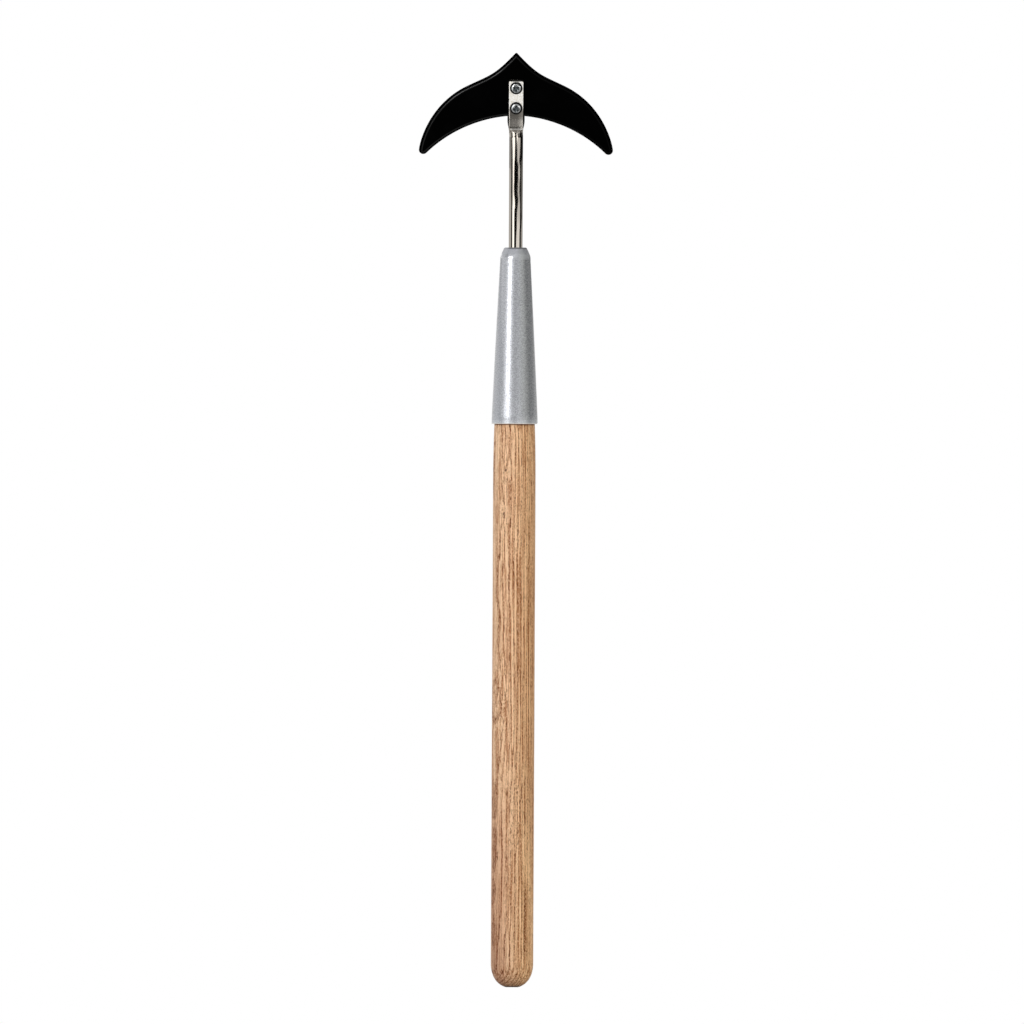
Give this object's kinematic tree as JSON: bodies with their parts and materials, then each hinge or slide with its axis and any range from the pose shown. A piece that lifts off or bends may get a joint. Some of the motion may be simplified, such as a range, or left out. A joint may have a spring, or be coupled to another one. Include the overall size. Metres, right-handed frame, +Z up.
{
  "type": "push-pull hoe",
  "caption": "Push-pull hoe with a crescent blade ground on both edges, screwed to a bent steel tang that runs through a tapered ferrule into a round wooden handle.",
  "frame": {"origin": "centre of the small flat on the butt of the handle", "axes": "+Z runs up the handle from the butt to the blade, -Y is the side with the screw heads, towards which the blade's point leans, and +X is to the right when that side is seen with the blade up"},
  "size_m": [0.1456, 0.0346, 0.7008],
  "materials": {
    "wood": "oiled ash, satin",
    "silver_plastic": "silver-grey with fine metallic flakes",
    "polished_steel": "polished stainless steel",
    "black_coat": "satin black coat over steel",
    "zinc_plate": "bright zinc plate"
  },
  "bodies": {
    "root": {"handle": "wood", "ferrule": "silver_plastic", "tang": "polished_steel", "blade": "black_coat", "upper_screw": "zinc_plate", "lower_screw": "zinc_plate", "upper_washer": "zinc_plate", "lower_washer": "zinc_plate", "upper_nut": "zinc_plate", "lower_nut": "zinc_plate"}
  },
  "joints": []
}
